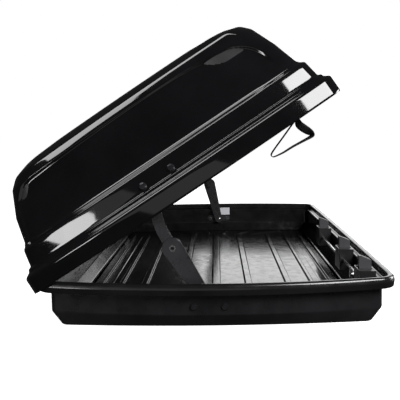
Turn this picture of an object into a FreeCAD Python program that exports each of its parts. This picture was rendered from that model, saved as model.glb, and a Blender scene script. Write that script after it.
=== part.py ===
import FreeCAD, Part
import math
import os

import Sketcher
from FreeCAD import Placement, Rotation, Vector

# Side-opening roof cargo box. X runs across the box from the hinge side (-X) to the latch side (+X),
# Y runs along it from the front end (-Y) to the rear end (+Y), Z is up. The origin is the middle of the
# tub's underside. Lid parts are drawn with the lid shut and then turned about the hinge line to its
# open position, which is the rest position of the model.

DIMENSIONS = {
    "open_angle": 33,
    "wall": 3,
    "lid_half_width": 452,
    "lid_half_length": 654,
    "side_bow": 60000,
    "end_bow": 2100,
    "corner": 50,
    "skirt_bottom": 95,
    "lid_rise": 299,
    "rim_half_width": 444,
    "rim_half_length": 646,
    "rim_top": 118,
    "rim_lip": 27,
    "rim_roll": 18,
    "hinge_lip": 14,
    "ledge_height": 98,
    "tub_half_width": 414,
    "tub_half_length": 615,
    "tub_chamfer": 34,
    "foot_inset": 24,
    "foot_end_bow": 4000,
    "rib_height": 6,
    "rib_length": 940,
    "mount_x": 330,
    "mount_pitch": 120,
    "mount_front": -120,
    "mount_rear": 330,
    "mount_hole": 4.25,
    "hinge_x": -426,
    "hinge_z": 91,
    "hinge_pin": 3,
    "knuckle": 6,
    "foot_front": -18,
    "foot_rear": 12,
    "bracket_z": 56,
    "bracket_pitch": 75,
    "lid_pivot_x": -30,
    "lid_pivot_z": 167,
    "lid_bracket_pitch": 79,
    "lower_length": 163,
    "upper_front": 179,
    "upper_rear": 190,
    "link_plate": 2,
    "latch_front": -490,
    "latch_middle": -250,
    "latch_rear": 75,
    "bar_x": 380,
    "bar_radius": 4,
    "strap_width": 25,
}

doc = FreeCAD.newDocument("roof_cargo_box")
sheet = doc.addObject("Spreadsheet::Sheet", "sizes")
for row, (alias, value) in enumerate(DIMENSIONS.items(), start=1):
    sheet.set(f"A{row}", alias)
    sheet.set(f"B{row}", str(value))
    sheet.setAlias(f"B{row}", alias)
doc.recompute()


def size(alias):
    return float(getattr(sheet, alias))


WALL = size("wall")
HINGE = Vector(size("hinge_x"), 0, size("hinge_z"))
OPEN = Placement(Vector(0, 0, 0), Rotation(Vector(0, 1, 0), -size("open_angle")), HINGE)
NODES = []


def node(obj, label, lid=False):
    """Names a finished piece, and puts a lid piece where it is with the lid open."""
    obj.Label = label
    if lid:
        obj.Placement = OPEN.multiply(obj.Placement)
    NODES.append(obj)
    return obj


# ---------------------------------------------------------------- sketches


def new_body(name):
    return doc.addObject("PartDesign::Body", name)


def plane_sketch(body, role, offset=0.0, shift=0.0):
    sketch = body.newObject("Sketcher::SketchObject", body.Name + "_sketch")
    plane = next(f for f in body.Origin.OriginFeatures if f.Role == role)
    sketch.AttachmentSupport = [(plane, "")]
    sketch.MapMode = "FlatFace"
    sketch.AttachmentOffset = Placement(Vector(shift, 0, offset), Rotation())
    return sketch


def bowed_outline(half_w, half_l, side_r, end_r, corner_r):
    """Arcs of a rectangle with gently bowed sides and round corners: (centre, radius, start, end)."""
    side = Vector(half_w - side_r, 0)
    end = Vector(0, half_l - end_r)
    reach = (end - side).Length
    unit = (end - side) / reach
    r1 = side_r - corner_r
    r2 = end_r - corner_r
    along = (reach ** 2 + r1 ** 2 - r2 ** 2) / (2 * reach)
    across = math.sqrt(r1 ** 2 - along ** 2)
    corner = side + unit * along + Vector(-unit.y, unit.x) * across
    a1 = math.atan2(corner.y - side.y, corner.x - side.x)
    a2 = math.atan2(corner.y - end.y, corner.x - end.x)
    pi = math.pi
    return [
        (side, side_r, -a1, a1),
        (corner, corner_r, a1, a2),
        (end, end_r, a2, pi - a2),
        (Vector(-corner.x, corner.y), corner_r, pi - a2, pi - a1),
        (Vector(-side.x, 0), side_r, pi - a1, pi + a1),
        (Vector(-corner.x, -corner.y), corner_r, pi + a1, pi + a2),
        (Vector(0, -end.y), end_r, pi + a2, 2 * pi - a2),
        (Vector(corner.x, -corner.y), corner_r, -a2, -a1),
    ]


def draw_outline(sketch, width_alias, length_alias, inset, corner, end_alias="end_bow", widen=0):
    """Draws a bowed outline inset from a sheet half width and half length, and binds it to them.

    Widen gives back some of the inset across the box alone.
    """
    half_w = size(width_alias) - inset + widen
    half_l = size(length_alias) - inset
    arcs = bowed_outline(half_w, half_l, size("side_bow"), size(end_alias), corner)
    first = sketch.GeometryCount
    for centre, radius, start, end in arcs:
        circle = Part.Circle(centre, Vector(0, 0, 1), radius)
        sketch.addGeometry(Part.ArcOfCircle(circle, start, end), False)
    ring = [first + i for i in range(8)]
    for i, arc in enumerate(ring):
        sketch.addConstraint(Sketcher.Constraint("Tangent", arc, 2, ring[(i + 1) % 8], 1))
    sketch.addConstraint(Sketcher.Constraint("Equal", ring[0], ring[4]))
    sketch.addConstraint(Sketcher.Constraint("Equal", ring[2], ring[6]))
    for i in (3, 5, 7):
        sketch.addConstraint(Sketcher.Constraint("Equal", ring[1], ring[i]))
    sketch.addConstraint(Sketcher.Constraint("PointOnObject", ring[0], 3, -1))
    sketch.addConstraint(Sketcher.Constraint("PointOnObject", ring[2], 3, -2))
    sketch.addConstraint(Sketcher.Constraint("Symmetric", ring[0], 3, ring[4], 3, -1, 1))
    sketch.addConstraint(Sketcher.Constraint("Symmetric", ring[2], 3, ring[6], 3, -1, 1))
    radii = ((0, "sizes.side_bow"), (2, f"sizes.{end_alias}"), (1, str(corner)))
    for i, expression in radii:
        index = sketch.addConstraint(Sketcher.Constraint("Radius", ring[i], arcs[i][1]))
        sketch.setExpression(f"Constraints[{index}]", expression)
    across = 2 * (size("side_bow") - size(width_alias) + inset - widen)
    index = sketch.addConstraint(Sketcher.Constraint("DistanceX", ring[0], 3, ring[4], 3, across))
    expression = f"2 * (sizes.side_bow - sizes.{width_alias} + {inset - widen})"
    sketch.setExpression(f"Constraints[{index}]", expression)
    along = 2 * (size(end_alias) - size(length_alias) + inset)
    index = sketch.addConstraint(Sketcher.Constraint("DistanceY", ring[2], 3, ring[6], 3, along))
    expression = f"2 * (sizes.{end_alias} - sizes.{length_alias} + {inset})"
    sketch.setExpression(f"Constraints[{index}]", expression)


def outline_sketch(body, height, *outlines, shift=0.0):
    """One level sketch holding one or more (width, length, inset, corner) outlines."""
    sketch = plane_sketch(body, "XY_Plane", height, shift)
    for outline in outlines:
        draw_outline(sketch, *outline)
    return sketch


def loft(body, kind, sections, width_alias, length_alias, base, leans=None):
    """A ruled loft through (height, inset, corner) rings, which may name an end bow of their own.

    Leans holds a (widen, shift) pair for each ring that is wider and set across towards the hinge side.
    """
    rings = []
    for i, (height, *ring) in enumerate(sections):
        if leans:
            widen, shift = leans[i]
            outline = (width_alias, length_alias, *ring, "end_bow", widen)
            rings.append(outline_sketch(body, base + height, outline, shift=shift))
        else:
            rings.append(outline_sketch(body, base + height, (width_alias, length_alias, *ring)))
    feature = body.newObject(f"PartDesign::{kind}", f"{body.Name}_{kind}")
    feature.Profile = rings[0]
    feature.Sections = rings[1:]
    feature.Ruled = True
    doc.recompute()
    return feature


def pad(body, sketch, length, expression=None, reverse=False):
    feature = body.newObject("PartDesign::Pad", body.Name + "_pad")
    feature.Profile = sketch
    feature.Length = length
    feature.Reversed = reverse
    if expression:
        feature.setExpression("Length", expression)
    doc.recompute()
    return feature


def pocket(body, sketch, depth, reverse=True, expression=None):
    """Cuts a sketch upwards from its plane unless reverse is off, and makes sure that it cuts."""
    before = body.Shape.Volume
    feature = body.newObject("PartDesign::Pocket", body.Name + "_pocket")
    feature.Profile = sketch
    feature.Length = depth
    feature.Reversed = reverse
    if expression:
        feature.setExpression("Length", expression)
    doc.recompute()
    if body.Shape.Volume > before - 1:
        raise ValueError(f"{feature.Name} cuts nothing")
    return feature


def add_polygon(sketch, points):
    last = len(points) - 1
    first = sketch.GeometryCount
    for i, point in enumerate(points):
        after = points[0 if i == last else i + 1]
        sketch.addGeometry(Part.LineSegment(Vector(*point, 0), Vector(*after, 0)), False)
    for i in range(len(points)):
        after = first if i == last else first + i + 1
        sketch.addConstraint(Sketcher.Constraint("Coincident", first + i, 2, after, 1))


def add_circle(sketch, x, y, radius, expression=None):
    index = sketch.addGeometry(Part.Circle(Vector(x, y, 0), Vector(0, 0, 1), radius), False)
    if expression:
        limit = sketch.addConstraint(Sketcher.Constraint("Radius", index, radius))
        sketch.setExpression(f"Constraints[{limit}]", expression)


def rectangle(x0, x1, y0, y1):
    return [(x0, y0), (x1, y0), (x1, y1), (x0, y1)]


def turned_rectangle(x, y, length, width, angle):
    """Corners of a rectangle whose long side starts at (x, y) and runs at an angle in degrees."""
    a = math.radians(angle)
    along = Vector(math.cos(a), math.sin(a))
    across = Vector(-along.y, along.x) * (width / 2)
    start = Vector(x, y)
    end = start + along * length
    return [(p.x, p.y) for p in (start - across, end - across, end + across, start + across)]


# -------------------------------------------------------------- primitives


def block(x0, x1, y0, y1, z0, z1):
    shape = doc.addObject("Part::Box", "block")
    shape.Length, shape.Width, shape.Height = x1 - x0, y1 - y0, z1 - z0
    shape.Placement = Placement(Vector(x0, y0, z0), Rotation())
    return shape


def rod(start, axis, radius, length, expression=None):
    """A cylinder from a point along an axis."""
    shape = doc.addObject("Part::Cylinder", "rod")
    shape.Radius, shape.Height = radius, length
    shape.Placement = Placement(Vector(*start), Rotation(Vector(0, 0, 1), Vector(*axis)))
    if expression:
        shape.setExpression("Radius", expression)
    return shape


def dome(start, axis, radius, height):
    """A fastener's head: a short cone frustum that narrows along the axis."""
    shape = doc.addObject("Part::Cone", "dome")
    shape.Radius1, shape.Radius2, shape.Height = radius, radius * 0.62, height
    shape.Placement = Placement(Vector(*start), Rotation(Vector(0, 0, 1), Vector(*axis)))
    return shape


def fuse(*shapes):
    joined = doc.addObject("Part::MultiFuse", "joined")
    joined.Shapes = list(shapes)
    joined.Refine = True
    doc.recompute()
    return joined


def cut(base, tool):
    result = doc.addObject("Part::Cut", "cut")
    result.Base, result.Tool = base, tool
    doc.recompute()
    return result


def group(*shapes):
    """Separate solids of one node, such as a set of like fasteners."""
    together = doc.addObject("Part::Compound", "group")
    together.Links = list(shapes)
    doc.recompute()
    return together


def tube(start, axis, outer, inner, length):
    bore_start = Vector(*start) - Vector(*axis)
    return cut(rod(start, axis, outer, length), rod(bore_start, axis, inner, length + 2))


def screw(start, axis, shank, length, head, lean=None):
    """A screw whose head sits at the start point and whose shank runs back against the axis.

    Where it stands on a sloping wall, lean is that wall's normal, which the head follows.
    """
    back = Vector(*start) - Vector(*axis) * length
    return fuse(rod(back, axis, shank, length + 0.5), dome(start, lean or axis, head, head * 0.45))


# --------------------------------------------------------------------- tub

RIM = ("rim_half_width", "rim_half_length")
TUB = ("tub_half_width", "tub_half_length")
CHAMFER = size("tub_chamfer")
LEDGE = size("ledge_height")
RIM_TOP = size("rim_top")
OVERHANG = size("rim_half_width") - size("tub_half_width")
LIP_BOTTOM = RIM_TOP - size("rim_lip")
ROLL = size("rim_roll")
TUB_CORNER = size("corner") - OVERHANG
FOOT_CORNER = 2  # how far a chamfered ring's corner radius grows as it steps in

RIBS = ((0, 24), (98, 20), (219, 18), (291, 12), (353, 14))
FAN = ((-150, 156), (-90, 128), (-30, 102), (30, 78), (90, 52), (150, 24))


def end_wall(x, half_length):
    """Distance from the middle to a bowed end wall's face at a place across the box."""
    bow = size("end_bow")
    return half_length - bow + math.sqrt(bow ** 2 - x ** 2)


def side_wall(y, half_width):
    bow = size("side_bow")
    return half_width - bow + math.sqrt(bow ** 2 - y ** 2)


def mount_places():
    """Where the roof-bar clamps' bolts pass through the floor."""
    for middle in ("mount_front", "mount_rear"):
        for x in (-size("mount_x"), size("mount_x")):
            for y in (-0.5, 0.5):
                yield x, size(middle) + y * size("mount_pitch")


def make_tub():
    body = new_body("base_tub")
    foot = size("foot_inset")
    outer = [
        (0, foot, TUB_CORNER, "foot_end_bow"),
        (CHAMFER + 1, 0, TUB_CORNER),
        (LEDGE, 0, TUB_CORNER),
    ]
    loft(body, "AdditiveLoft", outer, *TUB, 0)

    # The rim: a ledge that steps out of the wall, and a roll with a lip that hangs down outside it.
    corner = size("corner")
    rim = [
        (LIP_BOTTOM, 0, corner),
        (RIM_TOP - 6, 0, corner),
        (RIM_TOP - 2, 1.5, corner - 1.5),
        (RIM_TOP, 5, corner - 5),
    ]
    loft(body, "AdditiveLoft", rim, *RIM, 0)
    under = outline_sketch(
        body, LIP_BOTTOM, (*RIM, WALL, corner - WALL), (*RIM, ROLL - WALL, corner - ROLL + WALL)
    )
    pocket(body, under, size("rim_lip") - WALL)
    under_ledge = outline_sketch(
        body, LIP_BOTTOM, (*RIM, ROLL - WALL - 1, corner - ROLL + WALL), (*TUB, 0, TUB_CORNER)
    )
    pocket(body, under_ledge, LEDGE - WALL - LIP_BOTTOM)
    opening = outline_sketch(body, LEDGE, (*RIM, ROLL, corner - ROLL))
    pocket(body, opening, RIM_TOP - LEDGE + 1)

    inner = [
        (WALL, foot + WALL / 2, TUB_CORNER - WALL + FOOT_CORNER, "foot_end_bow"),
        (CHAMFER + 2, WALL, TUB_CORNER - WALL),
        (LEDGE + 1, WALL, TUB_CORNER - WALL),
    ]
    loft(body, "SubtractiveLoft", inner, *TUB, 0)

    # The lip is shorter on the hinge side, to let the hinge leaves pass.
    hinge_gap = plane_sketch(body, "XY_Plane", LIP_BOTTOM - 1)
    outside = -size("rim_half_width") - 5
    add_polygon(hinge_gap, rectangle(outside, -size("tub_half_width") - 1, -540, 540))
    pocket(body, hinge_gap, size("rim_lip") - size("hinge_lip") + 1)

    # Ribs along the floor, hollow underneath, and ribs that fan out from each arm's foot.
    ribs = plane_sketch(body, "XY_Plane", WALL - 0.5)
    half = size("rib_length") / 2
    for x, width in RIBS:
        for side in {x, -x}:
            add_polygon(ribs, rectangle(side - width / 2, side + width / 2, -half, half))
    pad(body, ribs, size("rib_height") + 0.5, "sizes.rib_height + 0.5")
    hollows = plane_sketch(body, "XY_Plane", 0)
    for x, width in RIBS:
        for side in {x, -x}:
            inner_half = width / 2 - WALL
            add_polygon(hollows, rectangle(side - inner_half, side + inner_half, -half + 3, half - 3))
    pocket(body, hollows, size("rib_height"), expression="sizes.rib_height")

    fan = plane_sketch(body, "XY_Plane", WALL - 0.5)
    for end in (-1, 1):
        foot = end * (half + 12)
        for x, angle in FAN:
            run = 85 / max(math.sin(math.radians(angle)), 0.6)
            add_polygon(fan, turned_rectangle(x, foot, run, 12, angle * end))
    pad(body, fan, size("rib_height") - 0.5)

    # Thickened strips that carry the roof-bar clamps, with a flush relief under each and holes through.
    strips = plane_sketch(body, "XY_Plane", WALL - 0.5)
    reliefs = plane_sketch(body, "XY_Plane", 0)
    for x in (-size("mount_x"), size("mount_x")):
        for half_w, sketch, trim in ((12, strips, 0), (10, reliefs, 2)):
            add_polygon(sketch, rectangle(x - half_w, x + half_w, trim - half, half - trim))
    pad(body, strips, 1.5)
    pocket(body, reliefs, 0.5)
    holes = plane_sketch(body, "XY_Plane", -1)
    for x, y in mount_places():
        add_circle(holes, x, y, size("mount_hole"), "sizes.mount_hole")
    pocket(body, holes, WALL + 4)

    # A sketch on the XZ plane faces -Y, so each of these lies behind its end wall and cuts forwards.
    for alias, behind in (("foot_front", 560), ("foot_rear", -700)):
        bolts = plane_sketch(body, "XZ_Plane", behind)
        for side in (-0.5, 0.5):
            add_circle(bolts, size(alias) + side * size("bracket_pitch"), size("bracket_z"), 3.2)
        pocket(body, bolts, 140)
    return node(body, "base_tub")


# --------------------------------------------------------------------- lid

LID = ("lid_half_width", "lid_half_length")
RISE = size("lid_rise")
# Rings of the lid's outside: height above the skirt's edge, inset from the skirt, corner radius.
LID_RINGS = [
    (0, 0, 50),
    (42, 1.5, 49),
    (50, 15, 40),
    (57, 18, 38),
    (60, 25, 36),
    (103, 32, 36),
    (112, 48, 36),
    (180, 68, 42),
    (246, 92, 50),
    (270, 110, 60),
    (286, 140, 80),
    (294, 185, 100),
    (RISE, 300, 120),
]
# The crown is wider than its insets say and sits towards the hinge side: (widen, shift) for each ring.
CROWN_LEAN = [(0, 0)] * 6 + [(6, -4)] + [(12, -8)] * 6


def make_lid():
    body = new_body("lid_shell")
    base = size("skirt_bottom")
    loft(body, "AdditiveLoft", LID_RINGS, *LID, base, CROWN_LEAN)
    inner = [(height, inset + WALL, corner - WALL) for height, inset, corner in LID_RINGS]
    inner[0] = (-1, *inner[0][1:])
    roof = [(height - WALL, inset, corner) for height, inset, corner in inner[-3:]]
    loft(body, "SubtractiveLoft", inner[:-3] + roof, *LID, base, CROWN_LEAN)
    bolts = plane_sketch(body, "XZ_Plane", -700)
    for side in (-0.5, 0.5):
        x = size("lid_pivot_x") + side * size("lid_bracket_pitch")
        add_circle(bolts, x, size("lid_pivot_z"), 3.2)
    pocket(body, bolts, 1400)
    return node(body, "lid_shell", lid=True)


# ------------------------------------------------------------------ hinges

HINGE_PLACES = (-300, 0, 300)
LEAF = 2
LID_LEAF = 1.5
LID_LEAF_GAP = 4.6  # from the skirt's outer face at its foot to the lid leaf
SKIRT_INSET = 0.8  # how far the skirt leans in at the rivets' height


def make_hinges():
    axis_x, axis_z = HINGE.x, HINGE.z
    pin_r, knuckle = size("hinge_pin"), size("knuckle")
    base_leaves, lid_leaves, pins, base_rivets, lid_rivets = [], [], [], [], []
    for y in HINGE_PLACES:
        # Both walls bow, so each flat leaf clears its wall at the end that comes nearest to it.
        wall_x = -side_wall(max(abs(y) - 32, 0), size("tub_half_width"))
        skirt_x = -side_wall(abs(y) + 30, size("lid_half_width")) + LID_LEAF_GAP
        plate = block(wall_x - LEAF - 0.4, wall_x - 0.4, y - 32, y + 32, 48, 93)
        ears = []
        for ear_y in (y - 32, y + 12):
            ears.append(rod((axis_x, ear_y, axis_z), (0, 1, 0), knuckle, 20, "sizes.knuckle"))
            ears.append(block(axis_x, wall_x - LEAF, ear_y, ear_y + 20, axis_z - 5, axis_z + 1))
        leaf = fuse(plate, *ears)
        gap = fuse(
            block(axis_x - 8, axis_x + 8, y - 12, y + 12, axis_z - 10, axis_z + 10),
            rod((axis_x, y - 40, axis_z), (0, 1, 0), pin_r + 0.05, 80, "sizes.hinge_pin + 0.05"),
            *[rod((wall_x - 9, y + side, 62), (1, 0, 0), 3.05, 18) for side in (-20, 20)],
        )
        base_leaves.append(cut(leaf, gap))
        reach = block(skirt_x, axis_x, y - 11.7, y + 11.7, axis_z - 1, axis_z + 1)
        upright = block(skirt_x, skirt_x + LID_LEAF, y - 30, y + 30, axis_z - 1, 132)
        middle = rod((axis_x, y - 11.7, axis_z), (0, 1, 0), knuckle, 23.4, "sizes.knuckle")
        bores = fuse(
            rod((axis_x, y - 40, axis_z), (0, 1, 0), pin_r + 0.05, 80, "sizes.hinge_pin + 0.05"),
            *[rod((skirt_x - 4, y + side, 118), (1, 0, 0), 3.05, 9) for side in (-20, 20)],
        )
        lid_leaves.append(cut(fuse(reach, upright, middle), bores))
        pins.append(rod((axis_x, y - 34, axis_z), (0, 1, 0), pin_r, 68, "sizes.hinge_pin"))
        for side in (-20, 20):
            base_rivets.append(screw((wall_x - LEAF - 0.4, y + side, 62), (-1, 0, 0), 3, 7, 6))
            skirt_face = -side_wall(y + side, size("lid_half_width")) + SKIRT_INSET - 0.4
            lid_rivets.append(
                screw((skirt_face, y + side, 118), (-1, 0, 0), 3, skirt_x + LID_LEAF - skirt_face, 7)
            )
    tub = doc.getObject("base_tub")
    holes = plane_sketch(tub, "YZ_Plane", -440)
    for y in HINGE_PLACES:
        for side in (-20, 20):
            add_circle(holes, y + side, 62, 3.05)
    pocket(tub, holes, 60)
    lid = doc.getObject("lid_shell")
    holes = plane_sketch(lid, "YZ_Plane", -460)
    for y in HINGE_PLACES:
        for side in (-20, 20):
            add_circle(holes, y + side, 118, 3.05)
    pocket(lid, holes, 30)
    node(group(*base_leaves), "hinge_base_leaves")
    node(group(*lid_leaves), "hinge_lid_leaves", lid=True)
    node(group(*pins), "hinge_pins")
    node(group(*base_rivets), "hinge_base_rivets")
    node(group(*lid_rivets), "hinge_lid_rivets", lid=True)


# -------------------------------------------------------------------- arms

# Distances from the middle of the box to the layers of an arm, from the wall inwards.
BASE_PLATE = size("tub_half_length") - WALL - 1.6
LID_PLATE = size("lid_half_length") - 35
OUTER_CHEEK = 592
INNER_CHEEK = 584
UPPER_OUTER = 580
UPPER_INNER = 573
PIVOT_R = 4
BOSS_R = 9
BAND_SLOPE = (32 - 25) / (103 - 60)  # how the lid's upper band leans in, from its two rings
BAND_INSET = 25 + (size("lid_pivot_z") - size("skirt_bottom") - 60) * BAND_SLOPE


def wall_normal(x, end, slope):
    """Outward direction of a bowed end wall that leans in by slope as it rises."""
    across = x / size("end_bow")
    return tuple(Vector(across, end * math.sqrt(1 - across ** 2), slope).normalize())


def turn(point, centre, degrees):
    """Turns an XZ point about +Y, so that a positive angle takes +Z towards +X."""
    a = math.radians(degrees)
    dx, dz = point[0] - centre[0], point[1] - centre[1]
    return (
        centre[0] + dx * math.cos(a) + dz * math.sin(a),
        centre[1] - dx * math.sin(a) + dz * math.cos(a),
    )


def find_elbow(foot, top, upper, side):
    """Where the two links meet: side is +1 for an elbow towards the hinge, -1 towards the latches."""
    reach = math.hypot(top[0] - foot[0], top[1] - foot[1])
    lower = size("lower_length")
    bend = math.acos((lower ** 2 + reach ** 2 - upper ** 2) / (2 * lower * reach))
    angle = math.atan2(top[1] - foot[1], top[0] - foot[0]) + side * bend
    return (foot[0] + lower * math.cos(angle), foot[1] + lower * math.sin(angle))


TOP_SHUT = (size("lid_pivot_x"), size("lid_pivot_z"))
TOP_OPEN = turn(TOP_SHUT, (HINGE.x, HINGE.z), -size("open_angle"))


def slab(name, end, near, thickness, outlines, bores):
    """A pressed plate in the XZ plane. near is its face nearer the middle of the box, on the given end."""
    body = new_body(name)
    sketch = plane_sketch(body, "XZ_Plane", -end * near)
    for points in outlines:
        wire(sketch, points)
    for x, z, radius in bores:
        add_circle(sketch, x, z, radius)
    # The plane's normal is -Y, so the front end's plates grow along it and the rear end's against it.
    pad(body, sketch, thickness, reverse=end > 0)
    return body


def wire(sketch, pieces):
    for piece in pieces:
        sketch.addGeometry(piece, False)


def tapered_bar(a, b, ra, rb):
    """Outline of a bar with round ends: radius ra about a and rb about b."""
    ax, az = a
    bx, bz = b
    dx, dz = bx - ax, bz - az
    length = math.hypot(dx, dz)
    heading = math.atan2(dz, dx)
    lean = math.acos((ra - rb) / length)

    def rim(centre, radius, angle):
        return Vector(centre[0] + radius * math.cos(angle), centre[1] + radius * math.sin(angle), 0)

    left, right = heading + lean, heading - lean
    return [
        Part.LineSegment(rim(a, ra, right), rim(b, rb, right)),
        Part.Arc(rim(b, rb, right), rim(b, rb, heading), rim(b, rb, left)),
        Part.LineSegment(rim(b, rb, left), rim(a, ra, left)),
        Part.Arc(rim(a, ra, left), rim(a, ra, heading + math.pi), rim(a, ra, right)),
    ]


def curved_bar(a, b, bulge, half):
    """Outline of a banana-shaped bar of even width from a to b. bulge is its middle's sideways shift."""
    a, b = Vector(*a, 0), Vector(*b, 0)
    chord = b - a
    side = Vector(-chord.y, chord.x, 0).normalize()
    middle = (a + b) * 0.5 + side * bulge
    centre = Part.Arc(a, middle, b).toShape().Curve.Center

    def moved(point, distance):
        return point + (point - centre).normalize() * distance

    def cap(point, outward):
        tangent = Vector(-(point - centre).y, (point - centre).x, 0).normalize()
        if tangent.dot(outward) < 0:
            tangent = tangent * -1
        return point + tangent * half

    outer = Part.Arc(moved(a, half), moved(middle, half), moved(b, half))
    inner = Part.Arc(moved(b, -half), moved(middle, -half), moved(a, -half))
    end_b = Part.Arc(moved(b, half), cap(b, chord), moved(b, -half))
    end_a = Part.Arc(moved(a, -half), cap(a, chord * -1), moved(a, half))
    return [outer, end_b, inner, end_a]


def make_arm(end, label, side):
    """One lid arm. end is -1 at the front and +1 at the rear, side is which way its elbow bends."""
    foot_at = (size(f"foot_{label}"), size("bracket_z"))
    elbow = find_elbow(foot_at, TOP_OPEN, size(f"upper_{label}"), side)
    fx, fz = foot_at
    plate = size("link_plate")
    across = (0, end, 0)
    inward = (0, -end, 0)

    def at(x, distance, z):
        return (x, end * distance, z)

    # Bracket on the tub's end wall: a plate with a boss that the lower link turns on.
    pitch = size("bracket_pitch") / 2
    bolts_at = (fx - pitch, fx + pitch)
    bracket = slab(
        f"base_plate_{label}", end, BASE_PLATE - 2.5, 2.5,
        [tapered_bar((fx - pitch, fz), (fx + pitch, fz), 13, 13)],
        [(x, fz, 3.2) for x in bolts_at],
    )
    boss = rod(at(fx, OUTER_CHEEK + plate + 0.5, fz), across, BOSS_R, BASE_PLATE - OUTER_CHEEK - plate - 1)
    foot = fuse(bracket, boss)
    node(foot, f"arm_base_bracket_{label}")
    wall_out = [end_wall(x, size("tub_half_length")) for x in bolts_at]
    bolts, nuts = [], []
    for x, face in zip(bolts_at, wall_out):
        inner_face = BASE_PLATE - 2.5
        lean = wall_normal(x, end, 0)
        bolts.append(screw(at(x, face + 0.1, fz), across, 3, face + 0.1 - inner_face + 6, 10, lean))
        nuts.append(tube(at(x, inner_face - 5.2, fz), across, 6, 3, 5))
    node(group(*bolts), f"base_bracket_bolts_{label}")
    node(group(*nuts), f"base_bracket_nuts_{label}")

    # Lower link: two cheeks joined by a web along the side away from the hinge.
    cheek = [tapered_bar(elbow, foot_at, 25, 15)]
    outer = slab(f"lower_outer_{label}", end, OUTER_CHEEK, plate, cheek,
                 [(*elbow, 8.05), (fx, fz, PIVOT_R + 0.05)])
    inner = slab(f"lower_inner_{label}", end, INNER_CHEEK, plate, cheek,
                 [(*elbow, 8.05), (fx, fz, PIVOT_R + 0.05)])
    right = [tapered_bar(elbow, foot_at, 25, 15)[0 if side > 0 else 2]]
    heading = math.degrees(math.atan2(fz - elbow[1], fx - elbow[0]))
    lean = math.degrees(math.asin(10 / size("lower_length")))
    web_angle = heading + (lean if side > 0 else -lean)
    start = right[0].StartPoint if side > 0 else right[0].EndPoint
    web = doc.addObject("Part::Box", f"lower_web_{label}")
    run = right[0].length()
    web.Length, web.Width, web.Height = run, OUTER_CHEEK + plate - INNER_CHEEK, 2
    y_low = min(end * INNER_CHEEK, end * (OUTER_CHEEK + plate))
    offset = Vector(0, 0, 0) if side > 0 else Vector(0, 0, -2)
    web.Placement = Placement(
        Vector(start.x, y_low, start.y), Rotation(Vector(0, 1, 0), -web_angle)
    ).multiply(Placement(offset, Rotation()))
    node(fuse(outer, inner, web), f"lower_link_{label}")
    pivot = fuse(
        rod(at(fx, INNER_CHEEK - 2, fz), across, PIVOT_R, OUTER_CHEEK + plate + 2.5 - INNER_CHEEK),
        dome(at(fx, INNER_CHEEK - 0.2, fz), inward, 7, 2.5),
    )
    node(pivot, f"base_pivot_{label}")

    # The elbow's tubular rivet is held by the lower link.
    ring_length = OUTER_CHEEK + plate + 1.4 - INNER_CHEEK
    ring = tube(at(elbow[0], INNER_CHEEK - 0.4, elbow[1]), across, 8, 4.5, ring_length)
    node(ring, f"elbow_rivet_{label}")

    # Upper link: two curved plates and the spacers between them, which ride on the lid's pivot.
    bulge = 24 * side
    shape = [curved_bar(elbow, TOP_OPEN, bulge, 13.5)]
    depth = UPPER_OUTER - UPPER_INNER + plate
    near_plate = slab(f"upper_outer_{label}", end, UPPER_OUTER, plate, shape,
                      [(*TOP_OPEN, PIVOT_R + 0.05)])
    far_plate = slab(f"upper_inner_{label}", end, UPPER_INNER, plate, shape,
                     [(*TOP_OPEN, PIVOT_R + 0.05)])
    spacers = [tube(at(elbow[0], UPPER_INNER - 1, elbow[1]), across, 8, 4.5, depth + 1.5)]
    spacers.append(tube(at(TOP_OPEN[0], UPPER_INNER, TOP_OPEN[1]), across, 8, PIVOT_R + 0.05, depth))
    node(fuse(near_plate, far_plate, *spacers), f"upper_link_{label}")

    # Bracket on the lid's end wall, and the pin that the upper link turns on. Drawn with the lid shut.
    tx, tz = TOP_SHUT
    pitch = size("lid_bracket_pitch") / 2
    bolts_at = (tx - pitch, tx + pitch)
    bracket = slab(
        f"lid_plate_{label}", end, LID_PLATE - 2.5, 2.5,
        [tapered_bar((tx - pitch, tz), (tx + pitch, tz), 13, 13)],
        [(x, tz, 3.2) for x in bolts_at],
    )
    stand = UPPER_OUTER + plate + 0.5
    boss = rod(at(tx, stand, tz), across, BOSS_R, LID_PLATE - stand - 0.5)
    node(fuse(bracket, boss), f"arm_lid_bracket_{label}", lid=True)
    pivot = fuse(
        rod(at(tx, UPPER_INNER - 2, tz), across, PIVOT_R, stand + 2 - UPPER_INNER),
        dome(at(tx, UPPER_INNER - 0.3, tz), inward, 7, 2.5),
    )
    node(pivot, f"lid_pivot_{label}", lid=True)
    bolts, nuts = [], []
    for x in bolts_at:
        face = end_wall(x, size("lid_half_length") - BAND_INSET)
        inner_face = LID_PLATE - 2.5
        lean = wall_normal(x, end, BAND_SLOPE)
        bolts.append(screw(at(x, face + 0.1, tz), across, 3, face + 0.1 - inner_face + 6, 10, lean))
        nuts.append(tube(at(x, inner_face - 5.2, tz), across, 6, 3, 5))
    node(group(*bolts), f"lid_bracket_bolts_{label}", lid=True)
    node(group(*nuts), f"lid_bracket_nuts_{label}", lid=True)


# ----------------------------------------------------------- lock and latches

LATCHES = (("front", "latch_front"), ("middle", "latch_middle"), ("rear", "latch_rear"))
CLAW_PIVOT_Z = 100
BAR_Z = 80
HOUSING_BOTTOM = 50
HOUSING_TOP = 112
HOUSING_HALF_X = 21
HOUSING_HALF_Y = 30
LOCK_Z = 62
SCREW_Z = 88
STRIKER_Z = 119.5
STRIKER_SCREWS = (18, 48)
STRIKER_BORE = 2.05


def latch_place(alias):
    """The middle of a latch housing, which stands against the bowed side wall."""
    y = size(alias)
    return side_wall(abs(y) + HOUSING_HALF_Y, size("tub_half_width")) - WALL - HOUSING_HALF_X - 0.5, y


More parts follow.
